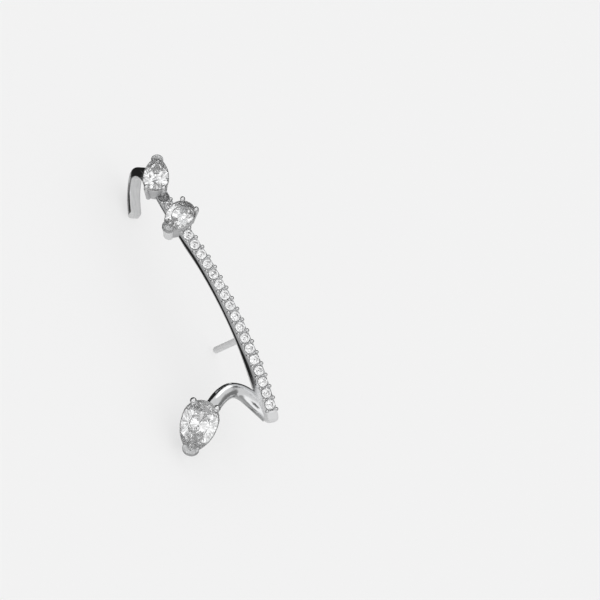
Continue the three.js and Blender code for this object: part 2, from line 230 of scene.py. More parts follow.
def plainMesh(piece):
    # the piece's mesh with its modifiers worked in
    graph = bpy.context.evaluated_depsgraph_get()
    mesh = bpy.data.meshes.new_from_object(piece.evaluated_get(graph))
    piece.modifiers.clear()
    piece.data = mesh
    mesh.name = piece.name
    return piece


# finishes

def addNode(tree, kind, place, **inputs):
    node = tree.nodes.new(kind)
    node.location = place
    for key, value in inputs.items():
        node.inputs[key].default_value = value
    return node


def mixNode(tree, place, kind):
    # a mix of two colours or two floats: its factor, first, second and result sockets
    node = addNode(tree, "ShaderNodeMix", place)
    node.data_type = kind
    end = {"RGBA": "_Color", "FLOAT": "_Float"}[kind]
    sockets = {socket.identifier: socket for socket in [*node.inputs, *node.outputs]}
    return [sockets[key] for key in ("Factor_Float", "A" + end, "B" + end, "Result" + end)]


def polishGroup():
    # fine wheel marks and cloudy wear left by polishing
    tree = bpy.data.node_groups.new("polishMarks", "ShaderNodeTree")
    tree.interface.new_socket("Vector", in_out="INPUT", socket_type="NodeSocketVector")
    for name, value in (("Cloud Size", 1.2), ("Mark Size", 9.0), ("Gloss", 0.05), ("Spread", 0.05)):
        socket = tree.interface.new_socket(name, in_out="INPUT", socket_type="NodeSocketFloat")
        socket.default_value = value
    tree.interface.new_socket("Mark Turn", in_out="INPUT", socket_type="NodeSocketVector")
    for name in ("Roughness", "Height", "Tone"):
        tree.interface.new_socket(name, in_out="OUTPUT", socket_type="NodeSocketFloat")
    inside = tree.nodes.new("NodeGroupInput")
    outside = tree.nodes.new("NodeGroupOutput")
    outside.location = (900, 0)
    scaled = addNode(tree, "ShaderNodeVectorMath", (150, 0))
    scaled.operation = "SCALE"
    scaled.inputs["Scale"].default_value = 1 / mm
    cloud = addNode(tree, "ShaderNodeTexNoise", (330, 120), Detail=3.0, Roughness=0.6)
    stretch = addNode(tree, "ShaderNodeMapping", (330, -160))
    stretch.inputs["Scale"].default_value = (1.0, 0.12, 1.0)    # the marks run long along y
    marks = addNode(tree, "ShaderNodeTexNoise", (520, -160), Detail=4.0, Roughness=0.7)
    rough = addNode(tree, "ShaderNodeMath", (700, 120))
    rough.operation = "MULTIPLY_ADD"
    link = tree.links.new
    link(inside.outputs["Vector"], scaled.inputs[0])
    link(scaled.outputs[0], cloud.inputs["Vector"])
    link(scaled.outputs[0], stretch.inputs["Vector"])
    link(inside.outputs["Mark Turn"], stretch.inputs["Rotation"])
    link(stretch.outputs[0], marks.inputs["Vector"])
    link(inside.outputs["Cloud Size"], cloud.inputs["Scale"])
    link(inside.outputs["Mark Size"], marks.inputs["Scale"])
    link(cloud.outputs["Fac"], rough.inputs[0])
    link(inside.outputs["Spread"], rough.inputs[1])
    link(inside.outputs["Gloss"], rough.inputs[2])
    link(rough.outputs[0], outside.inputs["Roughness"])
    link(marks.outputs["Fac"], outside.inputs["Height"])
    link(cloud.outputs["Fac"], outside.inputs["Tone"])
    return tree


polishMarks = polishGroup()
wheelTurn = (0.3, 0.5, 0.4)     # how the wheel's marks lie on metal that isn't drawn


def metalFinish(name, look):
    material = bpy.data.materials.new(name)
    material.use_nodes = True
    tree = material.node_tree
    shader = tree.nodes["Principled BSDF"]
    shader.inputs["Metallic"].default_value = look["metallic"]
    drawn = look.get("drawn", False)
    if drawn:
        coords = addNode(tree, "ShaderNodeAttribute", (-900, 0))
        coords.attribute_name = "grain"
    else:
        coords = addNode(tree, "ShaderNodeTexCoord", (-900, 0))
    group = addNode(tree, "ShaderNodeGroup", (-700, 0))
    group.node_tree = polishMarks
    group.inputs["Mark Turn"].default_value = (0.0, 0.0, 0.0) if drawn else wheelTurn
    group.inputs["Gloss"].default_value = look["gloss"]
    group.inputs["Spread"].default_value = look["spread"]
    group.inputs["Mark Size"].default_value = look["marks"]
    factor, dark, light, tone = mixNode(tree, (-450, 200), "RGBA")
    dark.default_value = (*look["dark"], 1)
    light.default_value = (*look["light"], 1)
    reach = look.get("reach", 0.00002)
    bump = addNode(tree, "ShaderNodeBump", (-300, -200), Strength=look["bump"], Distance=reach)
    link = tree.links.new
    link(coords.outputs["Vector" if drawn else "Object"], group.inputs["Vector"])
    link(group.outputs["Height" if drawn else "Tone"], factor)
    link(tone, shader.inputs["Base Color"])
    link(group.outputs["Roughness"], shader.inputs["Roughness"])
    link(group.outputs["Height"], bump.inputs["Height"])
    link(bump.outputs["Normal"], shader.inputs["Normal"])
    return material


def fadingFinish(name, shiny, soft, centre, near, far):
    # soft within near of the centre, shiny from far on
    material = metalFinish(name, shiny)
    tree = material.node_tree
    shader = tree.nodes["Principled BSDF"]
    coords = addNode(tree, "ShaderNodeTexCoord", (-900, 500))
    away = addNode(tree, "ShaderNodeVectorMath", (-700, 500))
    away.operation = "DISTANCE"
    away.inputs[1].default_value = centre
    share = addNode(tree, "ShaderNodeMapRange", (-500, 500))
    share.interpolation_type = "SMOOTHSTEP"
    for key, value in (("From Min", near), ("From Max", far), ("To Min", 1.0), ("To Max", 0.0)):
        share.inputs[key].default_value = value
    link = tree.links.new
    link(coords.outputs["Object"], away.inputs[0])
    link(away.outputs["Value"], share.inputs["Value"])
    blends = [("Base Color", "RGBA", (*soft["light"], 1)), ("Roughness", "FLOAT", soft["gloss"])]
    for key, kind, value in blends:
        factor, first, second, result = mixNode(tree, (-150, 300), kind)
        second.default_value = value
        link(share.outputs["Result"], factor)
        link(shader.inputs[key].links[0].from_socket, first)
        link(result, shader.inputs[key])
    shine = addNode(tree, "ShaderNodeMapRange", (-150, 600))
    shine.inputs["To Min"].default_value = shiny["metallic"]
    shine.inputs["To Max"].default_value = soft["metallic"]
    link(share.outputs["Result"], shine.inputs["Value"])
    link(shine.outputs["Result"], shader.inputs["Metallic"])
    return material


def crystalFinish(name, look):
    material = bpy.data.materials.new(name)
    material.use_nodes = True
    tree = material.node_tree
    shader = tree.nodes["Principled BSDF"]
    shader.inputs["Metallic"].default_value = 0.0
    shader.inputs["Transmission Weight"].default_value = 1.0
    shader.inputs["IOR"].default_value = look["ior"]
    coords = addNode(tree, "ShaderNodeTexCoord", (-900, 0))
    cloud = addNode(tree, "ShaderNodeTexNoise", (-700, 100), Scale=look["cloud"], Detail=2.0)
    factor, cool, clear, tone = mixNode(tree, (-450, 200), "RGBA")
    cool.default_value = (*look["cool"], 1)
    clear.default_value = (*look["clear"], 1)
    polish = addNode(tree, "ShaderNodeMath", (-450, -100))
    polish.operation = "MULTIPLY"
    polish.inputs[1].default_value = look["haze"]
    link = tree.links.new
    link(coords.outputs["Object"], cloud.inputs["Vector"])
    link(cloud.outputs["Fac"], factor)
    link(cloud.outputs["Fac"], polish.inputs[0])
    link(tone, shader.inputs["Base Color"])
    link(polish.outputs[0], shader.inputs["Roughness"])
    return material


# gloss: the least roughness, and spread what clouds add to it; marks: how fine they are;
# bump and reach: how strong and how deep; dark and light: between these the tone wanders
polished = {
    "gloss": 0.03, "spread": 0.05, "marks": 9.0, "bump": 0.04, "metallic": 1.0,
    "dark": (0.80, 0.81, 0.82), "light": (0.90, 0.905, 0.91),
}
satin = {
    "gloss": 0.40, "spread": 0.14, "marks": 14.0, "bump": 0.08, "metallic": 0.3,
    "dark": (0.78, 0.785, 0.79), "light": (0.88, 0.88, 0.885),
}
satinMetal = metalFinish("satinWhiteMetal", satin)
# basket walls and the claws under the girdle: the satin finish with its colour painted darker, as painted
# shade under the stones
basketMetal = metalFinish("basketWhiteMetal", {
    **satin, "metallic": 0.5, "bump": 0.2, "dark": (0.52, 0.525, 0.53), "light": (0.74, 0.74, 0.745),
})
# inside of the baskets, left white from the pickle
insideMetal = metalFinish("pickledWhiteMetal", {
    **satin, "metallic": 0.0, "gloss": 0.55, "dark": (0.93, 0.93, 0.93), "light": (1.0, 1.0, 1.0),
})
# wire, with lines along it from the draw plate
drawnSatin = metalFinish("drawnSatinMetal", {
    **satin, "marks": 5.0, "bump": 0.5, "drawn": True, "reach": 0.0001,
    "dark": (0.6, 0.605, 0.61), "light": (1.0, 1.0, 1.0),
})
drawnMetal = metalFinish("drawnWhiteMetal", {
    **polished, "marks": 3.5, "bump": 0.6, "drawn": True, "reach": 0.00004,
    "dark": (0.72, 0.73, 0.74), "light": (0.98, 0.985, 0.99),
})
# grains and claws, pressed down bright
grainMetal = metalFinish("grainWhiteMetal", {
    "gloss": 0.06, "spread": 0.06, "marks": 9.0, "bump": 0.04, "metallic": 1.0,
    "dark": (0.95, 0.955, 0.96), "light": (1.0, 1.0, 1.0),
})
# metal worked by hand with a graver and a burnisher
gravedMetal = metalFinish("gravedWhiteMetal", {
    "gloss": 0.05, "spread": 0.08, "marks": 4.5, "bump": 1.0, "metallic": 1.0, "reach": 0.00025,
    "dark": (0.84, 0.85, 0.86), "light": (0.96, 0.965, 0.97),
})
burnishedMetal = metalFinish("burnishedWhiteMetal", {
    "gloss": 0.05, "spread": 0.05, "marks": 2.6, "bump": 1.0, "metallic": 1.0, "reach": 0.00025,
    "dark": (0.58, 0.585, 0.59), "light": (0.84, 0.845, 0.85),
})
# inside of the drilled seats, which no wheel reaches: left rough, and its colour painted near black as the
# shade deep in the seats
seatMetal = metalFinish("drilledWhiteMetal", {
    "gloss": 0.35, "spread": 0.2, "marks": 20.0, "bump": 0.3, "metallic": 1.0,
    "dark": (0.10, 0.10, 0.105), "light": (0.20, 0.20, 0.205),
})
clearCrystal = crystalFinish("clearCrystal", {
    "ior": 2.15, "cloud": 900.0, "haze": 0.01, "cool": (0.982, 0.988, 0.994), "clear": (1.0, 1.0, 1.0),
})
print("finishes made")


# the bar

bar = {
    "width": 1.5,
    "rings": 150,
    "edge": 0.07,       # radius of the front corners
    "toeEdge": 0.14,    # and at the toe
    "tuck": 0.09,       # how far the front corners stand in from the widest place
    "wideAt": 0.5,      # the widest place, as a share of the depth
    "wideTop": 0.22,    # and at the top end, where the bar is slim
    "topRun": 10.0,     # length over which it changes
    "scoop": 0.14,      # how far the metal is cut down between the stones
    "scoopRun": 0.12,   # length in which that cut begins and ends
    "graved": 5,        # faces of each half of the section that belong to it
    "topPlain": 0.6,    # length of the top end without stones
    "toePlain": 1.35,   # and of the toe
    "toeRound": 0.7,    # length of the toe's round end
    "toeSquare": 2.6,   # 2 is a true round, more is squarer
    "toeWidth": 0.25,   # share of the width that is left at the very end
    "toeDepth": 0.3,    # and of the depth
    "toeFall": 0.4,     # how far the front falls back there
    "toeSatin": 1.3,    # length of the satin toe
    "fadeFrom": 1.5,    # the satin beyond it is whole up to here
    "fadeTo": 6.5,      # and gone from here on
    # x, y, z of the front face and the depth behind it
    "stations": [
        (-4.4, 4.35, 14.95, 1.35), (-3.99, 4.0, 14.01, 1.35), (-2.6, 2.9, 11.13, 1.5),
        (-0.95, 1.95, 8.28, 2.05), (0.72, 1.2, 5.46, 2.05), (2.45, 0.6, 2.2, 2.05),
        (4.0, 0.2, -1.03, 2.05), (5.4, 0.0, -4.13, 2.3), (6.58, 0.0, -6.75, 2.85),
        (7.43, 0.0, -9.04, 3.0), (8.07, 0.0, -10.98, 2.75), (8.46, 0.1, -12.35, 2.2),
        (8.6, 0.15, -12.95, 1.9),
    ],
}
barPath = pathThrough(bar["stations"])
barLength = pathLength(barPath)


def barSection(width, depth, front, edge, wideAt):
    # half of the section from the front middle round to the back middle, then mirrored:
    # the walls lean out from the lip to the widest place and turn in to a round back
    half = width / 2
    lip = half - bar["tuck"]
    side = [(0, front), (lip * 0.45, front), (lip - edge, front)]
    side += [
        (lip - edge + edge * math.sin(a), front - edge + edge * math.cos(a))
        for a in np.radians((25, 50, 75))
    ]
    wide = depth * wideAt
    for s in np.linspace(0.12, 1.0, 8):
        side.append((lip + bar["tuck"] * (1 - (1 - s) ** 1.6), -edge - (wide - edge) * s))
    for a in np.radians(np.arange(10, 90, 8)):
        side.append((half * math.cos(a) ** 0.8, -wide - (depth - wide) * math.sin(a) ** 0.9))
    side.append((0, -depth))
    return np.array(side + [(-x, z) for x, z in side[-2:0:-1]])


def barMesh():
    toe = bar["toeRound"]
    lengths = list(np.linspace(0, barLength - toe, bar["rings"]))
    lengths += [barLength - toe * (1 - math.sin(a)) for a in np.radians(np.arange(8, 90, 8))]
    at, ways = pointsAt(barPath, lengths)
    rings, paving, lefts = [], [], []
    for length, row, way in zip(lengths, at, ways):
        out = square(frontWay, way)
        side = np.cross(out, way)
        left = barLength - length
        paved = smoothStep((left - bar["toePlain"]) / bar["scoopRun"])
        paved *= smoothStep((length - bar["topPlain"]) / bar["scoopRun"])
        full = math.sqrt(max(0.0, 1 - max(0.0, 1 - left / toe) ** bar["toeSquare"]))
        width = bar["width"] * between(bar["toeWidth"], 1.0, full)
        depth = row[3] * between(bar["toeDepth"], 1.0, full)
        edge = between(bar["edge"], bar["toeEdge"], smoothStep((bar["toePlain"] - left) / 0.5))
        wideAt = between(bar["wideTop"], bar["wideAt"], smoothStep(length / bar["topRun"]))
        section = barSection(width, depth, -bar["scoop"] * paved, edge, wideAt)
        heights = section[:, 1] - bar["toeFall"] * (1 - full)
        rings.append(row[:3] + np.outer(section[:, 0], side) + np.outer(heights, out))
        paving.append(paved)
        lefts.append(left)
    points, faces = ringMesh(rings)
    return points, faces, barCoats(len(faces), len(rings[0]), paving, lefts)


def barCoats(faceCount, count, paving, lefts):
    # 2 on the satin toe, 1 on the graved front between the stones, 0 on the rest
    coats = []
    for k in range(faceCount):
        ring, turn = divmod(k, count)
        ring = min(ring, len(lefts) - 1)
        front = turn < bar["graved"] or turn >= count - bar["graved"]
        coats.append(2 if lefts[ring] < bar["toeSatin"] else int(paving[ring] > 0.5 and front))
    return coats


toeEnd = layDown(barPath[-1, :3])
fadingMetal = fadingFinish(
    "fadingWhiteMetal", polished, satin, toeEnd, bar["fadeFrom"] * mm, bar["fadeTo"] * mm,
)
barPiece = newPiece("bar", [barMesh()], [fadingMetal, gravedMetal, satinMetal])


# pavé: seats, beads and stones

pave = {
    "radius": 0.6, "pitch": 1.37, "crown": 0.2, "pavilion": 0.5, "girdle": 0.04, "table": 0.56,
    "sides": 32,            # of a stone and of its seat
    "firstStone": 2.1,      # from the toe's end
    "seatRoom": 0.05,       # round the girdle
    "seatFoot": 0.22,       # radius of the seat's flat foot
    "seatLift": 0.06,       # and how far it lies over the culet
    "beadRadius": 0.25, "beadRise": 0.24, "beadSide": 0.575,
    "beadSunk": 0.1,        # how deep a bead's middle lies in the metal
    "beadLean": 0.12,
    "beadNear": 0.62,       # beads stand only this near to a stone, as a share of the pitch
    "beadTurn": 0.05, "stoneTilt": 0.08, "stoneTurn": 0.35,
    "beadSpread": 0.08, "stoneSpread": 0.015, "seed": 7,
}
paveNodes = sorted(n for n in nodes if n.startswith("pave_stone"))
paveSeats = [readStone(n) for n in paveNodes]


def cutSeats(piece):
    # a cup with a cone below it for every stone, taken out of the bar in one go
    cutter = bmesh.new()
    sides = pave["sides"]
    radius = pave["radius"] + pave["seatRoom"]
    profile = [(pave["seatFoot"], pave["seatLift"] - pave["pavilion"]), (radius, -0.05), (radius, 0.5)]
    profile = [(r * mm, h * mm) for r, h in profile]
    for seat in paveSeats:
        turn = Matrix(np.column_stack([seat["side"], seat["tip"], seat["face"]]).tolist())
        centre = Vector(seat["centre"])
        rings = []
        for r, h in profile:
            circle = [Vector((r * math.cos(a), r * math.sin(a), h)) for a in turnsOf(sides)]
            rings.append([cutter.verts.new(centre + turn @ point) for point in circle])
        for low, high in zip(rings, rings[1:]):
            for k in range(sides):
                n = (k + 1) % sides
                cutter.faces.new((low[k], low[n], high[n], high[k]))
        cutter.faces.new(rings[0][::-1])
        cutter.faces.new(rings[-1])
    bmesh.ops.recalc_face_normals(cutter, faces=cutter.faces)
    tool = finishPiece("seatTool", cutter, [seatMetal], 0)
    cut = piece.modifiers.new("seats", "BOOLEAN")
    cut.operation, cut.solver, cut.object = "DIFFERENCE", "EXACT", tool
    # the seat walls take the cutter's material, with its painted shade
    cut.material_mode = "TRANSFER"
    cut.use_self = True
    plainMesh(piece)
    piece.data.shade_smooth()
    piece.data.set_sharp_from_angle(angle=math.radians(32))
    bpy.data.objects.remove(tool)


cutSeats(barPiece)
print("bar made, with", len(paveSeats), "seats")


def beadPlaces():
    # a pair of beads on each side of every stone, shared where stones are neighbours
    lengths = []
    centres = np.array([s["centre"] for s in paveSeats])
    reach = pave["firstStone"] - pave["pitch"] / 2
    while reach < barLength:
        at, ways = pointsAt(barPath, [barLength - reach])
        near = np.linalg.norm(centres - layDown(at[0, :3]), axis=1).min() / mm
        if near < pave["pitch"] * pave["beadNear"]:
            lengths.append(round(barLength - reach, 4))
        reach += pave["pitch"]
    at, ways = pointsAt(barPath, lengths[::-1])
    places, outs, alongs = [], [], []
    for row, way in zip(at, ways):
        out = square(frontWay, way)
        side = np.cross(out, way)
        for sign in (-1, 1):
            lean = unit(out + side * sign * pave["beadLean"])
            places.append(row[:3] + side * sign * pave["beadSide"] - out * pave["beadSunk"])
            outs.append(layWay(lean))
            alongs.append(layWay(way))
    return layDown(places), outs, alongs


def pointCloud(name, places, outs, alongs):
    mesh = bpy.data.meshes.new(name)
    mesh.from_pydata([tuple(p) for p in places], [], [])
    for key, rows in (("outward", outs), ("alongWay", alongs)):
        held = mesh.attributes.new(key, "FLOAT_VECTOR", "POINT")
        held.data.foreach_set("vector", np.array(rows, np.float32).ravel())
    piece = bpy.data.objects.new(name, mesh)
    bpy.context.scene.collection.objects.link(piece)
    return piece


def rowTurn(tree, start):
    # each point's turn: z to its outward, y to its alongWay, and then a little by chance
    link = tree.links.new

    def vectorNamed(key):
        node = tree.nodes.new("GeometryNodeInputNamedAttribute")
        node.data_type = "FLOAT_VECTOR"
        node.inputs["Name"].default_value = key
        return node.outputs["Attribute"]

    upright = tree.nodes.new("FunctionNodeAlignRotationToVector")
    upright.axis = "Z"
    facing = tree.nodes.new("FunctionNodeAlignRotationToVector")
    facing.axis, facing.pivot_axis = "Y", "Z"
    link(vectorNamed("outward"), upright.inputs["Vector"])
    link(upright.outputs[0], facing.inputs["Rotation"])
    link(vectorNamed("alongWay"), facing.inputs["Vector"])
    chance = tree.nodes.new("FunctionNodeRandomValue")
    chance.data_type = "FLOAT_VECTOR"
    least = tree.nodes.new("ShaderNodeVectorMath")
    least.operation = "SCALE"
    least.inputs["Scale"].default_value = -1.0
    link(start.outputs["Seed"], chance.inputs["Seed"])
    link(start.outputs["Turn Spread"], least.inputs[0])
    link(start.outputs["Turn Spread"], chance.inputs["Max"])
    link(least.outputs[0], chance.inputs["Min"])
    toRotation = tree.nodes.new("FunctionNodeEulerToRotation")
    spun = tree.nodes.new("FunctionNodeRotateRotation")
    spun.rotation_space = "LOCAL"
    link(chance.outputs["Value"], toRotation.inputs[0])
    link(facing.outputs[0], spun.inputs["Rotation"])
    link(toRotation.outputs[0], spun.inputs["Rotate By"])
    return spun.outputs[0]


def rowSize(tree, start):
    # sizes by chance, from 1 less the spread up to 1
    link = tree.links.new
    low = tree.nodes.new("ShaderNodeMath")
    low.operation = "SUBTRACT"
    low.inputs[0].default_value = 1.0
    size = tree.nodes.new("FunctionNodeRandomValue")
    size.data_type = "FLOAT"
    size.inputs["Max"].default_value = 1.0
    link(start.outputs["Size Spread"], low.inputs[1])
    link(low.outputs[0], size.inputs["Min"])
    link(start.outputs["Seed"], size.inputs["Seed"])
    return size.outputs[1]


def rowTree(name, sizes, makeInstance):
    # puts one thing on every point, turned and sized as its row asks, and makes it plain mesh
    tree = bpy.data.node_groups.new(name, "GeometryNodeTree")
    tree.interface.new_socket("Geometry", in_out="INPUT", socket_type="NodeSocketGeometry")
    for key, kind in sizes:
        tree.interface.new_socket(key, in_out="INPUT", socket_type=kind)
    tree.interface.new_socket("Geometry", in_out="OUTPUT", socket_type="NodeSocketGeometry")
    start, end = tree.nodes.new("NodeGroupInput"), tree.nodes.new("NodeGroupOutput")
    places = tree.nodes.new("GeometryNodeMeshToPoints")
    put = tree.nodes.new("GeometryNodeInstanceOnPoints")
    real = tree.nodes.new("GeometryNodeRealizeInstances")
    coat = tree.nodes.new("GeometryNodeSetMaterial")
    link = tree.links.new
    link(start.outputs["Geometry"], places.inputs["Mesh"])
    link(places.outputs[0], put.inputs["Points"])
    link(makeInstance(tree, start), put.inputs["Instance"])
    link(rowTurn(tree, start), put.inputs["Rotation"])
    link(rowSize(tree, start), put.inputs["Scale"])
    link(put.outputs[0], real.inputs[0])
    link(real.outputs[0], coat.inputs["Geometry"])
    link(start.outputs["Finish"], coat.inputs["Material"])
    link(coat.outputs[0], end.inputs[0])
    return tree


rowSizes = [
    ("Seed", "NodeSocketInt"), ("Turn Spread", "NodeSocketVector"),
    ("Size Spread", "NodeSocketFloat"), ("Finish", "NodeSocketMaterial"),
]


def runTree(piece, tree, values):
    grown = piece.modifiers.new(tree.name, "NODES")
    grown.node_group = tree
    for socket in tree.interface.items_tree:
        if socket.in_out == "INPUT" and socket.name in values:
            grown[socket.identifier] = values[socket.name]
    return plainMesh(piece)


def beadInstance(tree, start):
    # a grain of metal: a ball drawn out along its own height
    ball = tree.nodes.new("GeometryNodeMeshUVSphere")
    ball.inputs["Segments"].default_value = 20
    ball.inputs["Rings"].default_value = 12
    tree.links.new(start.outputs["Bead Radius"], ball.inputs["Radius"])
    tall = tree.nodes.new("ShaderNodeCombineXYZ")
    tall.inputs["X"].default_value = 1.0
    tall.inputs["Y"].default_value = 1.0
    tree.links.new(start.outputs["Height Share"], tall.inputs["Z"])
    shaped = tree.nodes.new("GeometryNodeTransform")
    smooth = tree.nodes.new("GeometryNodeSetShadeSmooth")
    tree.links.new(ball.outputs["Mesh"], shaped.inputs["Geometry"])
    tree.links.new(tall.outputs[0], shaped.inputs["Scale"])
    tree.links.new(shaped.outputs[0], smooth.inputs["Geometry"])
    return smooth.outputs[0]


def makeBeads():
    sizes = rowSizes + [("Bead Radius", "NodeSocketFloat"), ("Height Share", "NodeSocketFloat")]
    tree = rowTree("beadRow", sizes, beadInstance)
    piece = pointCloud("pave_beads", *beadPlaces())
    return runTree(piece, tree, {
        "Seed": pave["seed"], "Turn Spread": (pave["beadTurn"], pave["beadTurn"], 0.0),
        "Size Spread": pave["beadSpread"], "Finish": grainMetal, "Bead Radius": pave["beadRadius"] * mm,
        "Height Share": (pave["beadRise"] + pave["beadSunk"]) / pave["beadRadius"],
    })


beadPiece = makeBeads()
print("beads made:", len(beadPiece.data.polygons), "faces")


# cut stones

def planeThrough(a, b, c, outside):
    normal = unit(np.cross(b - a, c - a))
    if np.dot(normal, outside) < 0:
        normal = -normal
    return a, normal


def meet(planes):
    rows = np.array([n for _, n in planes])
    return np.linalg.solve(rows, np.array([np.dot(p, n) for p, n in planes]))


def facetPlanes(marks, girdle, reach, targets, meetShare, stars):
    # marks: girdle points and outward ways, a main at every fourth
    # each main passes through its target, and the halves meet the mains at meetShare
    sign = 1 if reach > 0 else -1

    def tangent(mark, target):
        p, n = mark
        a = np.array([p[0], p[1], girdle * sign])
        return planeThrough(a, a + np.array([-n[1], n[0], 0.0]), target, np.array([n[0], n[1], sign * 0.2]))

    planes = []
    count = len(marks) // 4
    mains = [tangent(marks[4 * i], targets[i]) for i in range(count)]
    for i in range(count):
        j = (i + 1) % count
        level = (np.array([0, 0, girdle * sign + (reach - girdle * sign) * meetShare]), np.array([0, 0, 1.0]))
        shared = meet([mains[i], mains[j], level])
        planes += [mains[i], tangent(marks[4 * i + 1], shared), tangent(marks[4 * i + 3], shared)]
        if stars:
            planes.append(planeThrough(targets[i], targets[j], shared, np.array([0, 0, 1.0])))
    return planes


def cutStone(outline, marks, lowerMarks, cut):
    # a straight-sided blank, cut by one plane for each facet
    stone = bmesh.new()
    low = [stone.verts.new((x, y, -cut["pavilion"] * 1.2)) for x, y in outline]
    high = [stone.verts.new((x, y, cut["crown"])) for x, y in outline]
    count = len(outline)
    for k in range(count):
        n = (k + 1) % count
        stone.faces.new((low[k], low[n], high[n], high[k]))
    stone.faces.new(low[::-1])
    stone.faces.new(high)
    mains = marks[::4]
    tables = [np.array([p[0] * cut["table"], p[1] * cut["table"], cut["crown"]]) for p, _ in mains]
    culet = np.array([0.0, cut["culetShift"], -cut["pavilion"]])
    half = cut["girdle"] / 2
    planes = facetPlanes(marks, half, cut["crown"], tables, cut["starMeet"], True)
    lower = [culet] * (len(lowerMarks) // 4)
    if cut["keel"]:
        # the facet under the tip is as steep as the others, and a keel runs on from it to the culet
        lower[0] = np.array([0.0, mains[0][0][1] - cut["keel"], -cut["pavilion"]])
    planes += facetPlanes(lowerMarks, half, -cut["pavilion"], lower, cut["lowerMeet"], False)
    for point, normal in planes:
        everything = stone.verts[:] + stone.edges[:] + stone.faces[:]
        sliced = bmesh.ops.bisect_plane(
            stone, geom=everything, dist=1e-5, plane_co=point, plane_no=normal, clear_outer=True,
        )
        rim = [e for e in sliced["geom_cut"] if isinstance(e, bmesh.types.BMEdge)]
        rim = [e for e in rim if e.is_valid and len(e.link_faces) == 1]
        if len(rim) > 2:
            bmesh.ops.contextual_create(stone, geom=rim)
    bmesh.ops.dissolve_degenerate(stone, edges=stone.edges, dist=1e-4)
    bmesh.ops.recalc_face_normals(stone, faces=stone.faces)
    return stone


def roundMarks(radius, mains=8):
    turns = np.arange(mains * 4) / (mains * 4) * 2 * math.pi
    return [(np.array([math.cos(a), math.sin(a)]) * radius, (math.cos(a), math.sin(a))) for a in turns]


def makePaveStones():
    outline = [(pave["radius"] * math.cos(a), pave["radius"] * math.sin(a)) for a in turnsOf(pave["sides"])]
    marks = roundMarks(pave["radius"])
    stone = cutStone(outline, marks, marks, {
        "crown": pave["crown"], "pavilion": pave["pavilion"], "girdle": pave["girdle"],
        "table": pave["table"], "culetShift": 0.0, "keel": 0.0, "starMeet": 0.52, "lowerMeet": 0.78,
    })
    stone.transform(Matrix.Scale(mm, 4))
    pattern = finishPiece("paveStonePattern", stone, [clearCrystal], 0)

    def stoneInstance(tree, start):
        info = tree.nodes.new("GeometryNodeObjectInfo")
        tree.links.new(start.outputs["Stone"], info.inputs["Object"])
        return info.outputs["Geometry"]

    tree = rowTree("stoneRow", rowSizes + [("Stone", "NodeSocketObject")], stoneInstance)
    places = [s["centre"] for s in paveSeats]
    row = pointCloud("pave_stones", places, [s["face"] for s in paveSeats], [s["tip"] for s in paveSeats])
    runTree(row, tree, {
        "Seed": pave["seed"], "Turn Spread": (pave["stoneTilt"], pave["stoneTilt"], pave["stoneTurn"]),
        "Size Spread": pave["stoneSpread"], "Finish": clearCrystal, "Stone": pattern,
    })
    bpy.data.objects.remove(pattern)
    return row


paveStones = makePaveStones()
print("pavé stones made:", len(paveStones.data.polygons), "faces")


# pear stones and settings

def pearHalf(y, length, width, blunt):
    # half the pear's width at y: a half circle at the round end, then a curve in to the tip
    radius = width / 2
    middle = -length / 2 + radius
    if y <= middle:
        return math.sqrt(max(0.0, radius**2 - (y - middle) ** 2))
    return radius * (1 - ((y - middle) / (length / 2 - middle)) ** blunt)


def pearOutline(pear, count=96):
    # even points round the pear, turning left from the tip
    length, width, blunt = pear["length"], pear["width"], pear["blunt"]
    radius = width / 2
    middle = -length / 2 + radius
    side = [(-pearHalf(y, length, width, blunt), y) for y in np.linspace(length / 2, middle, 200)]
    quarter = np.linspace(0, math.pi / 2, 200)[1:]
    side += [(-radius * math.cos(a), middle - radius * math.sin(a)) for a in quarter]
    side = np.array(side)
    run = np.concatenate([[0], np.cumsum(np.linalg.norm(np.diff(side, axis=0), axis=1))])
    at = np.linspace(0, run[-1], count // 2 + 1)
    half = np.column_stack([np.interp(at, run, side[:, 0]), np.interp(at, run, side[:, 1])])
    return np.vstack([half, half[-2:0:-1] * [-1, 1]])


def pearMarks(pear, mains):
    # girdle points and outward ways: mains + 1 down each half from tip to round end, three between neighbours
    count = 480
    fine = pearOutline(pear, count)
    shares = np.linspace(0, 1, mains + 1)
    steps = []
    for a, b in zip(shares, shares[1:]):
        steps += [a + (b - a) * k / 4 for k in range(4)]
    steps += [shares[-1]]
    indices = [round(s * count / 2) for s in steps]
    indices += [count - i for i in indices[-2:0:-1]]
    marks = []
    for i in indices:
        way = fine[(i + 1) % count] - fine[(i - 1) % count]
        marks.append((fine[i % count], unit([way[1], -way[0]])))
    return marks


pearCuts = {
    # over and under: spans between mains along each half, over and under the girdle
    # deep: the depth under the girdle, as a share of the width
    "small": {"over": 4, "under": 6, "deep": 0.48},
    "large": {"over": 8, "under": 10, "deep": 0.405},
    # of every pear: crown and culet as shares of its width and length, keel of its depth
    "crown": 0.17, "girdle": 0.08, "table": 0.56, "culetBack": 0.08, "keel": 1.1,
}


def makePearStone(name, pear):
    kind = pearCuts[pear["cut"]]
    deep = pear["width"] * kind["deep"]
    marks, lowerMarks = pearMarks(pear, kind["over"]), pearMarks(pear, kind["under"])
    stone = cutStone(pearOutline(pear, 80), marks, lowerMarks, {
        "crown": pear["width"] * pearCuts["crown"], "pavilion": deep, "girdle": pearCuts["girdle"],
        "table": pearCuts["table"], "culetShift": -pear["length"] * pearCuts["culetBack"],
        "keel": deep * pearCuts["keel"], "starMeet": 0.5, "lowerMeet": 0.75,
    })
    place = pear["place"]
    turn = Matrix(np.column_stack([place["side"], place["tip"], place["face"]]).tolist()).to_4x4()
    stone.transform(Matrix.Translation(Vector(place["centre"])) @ turn @ Matrix.Scale(mm, 4))
    return finishPiece(name + "_pear", stone, [clearCrystal], 0)


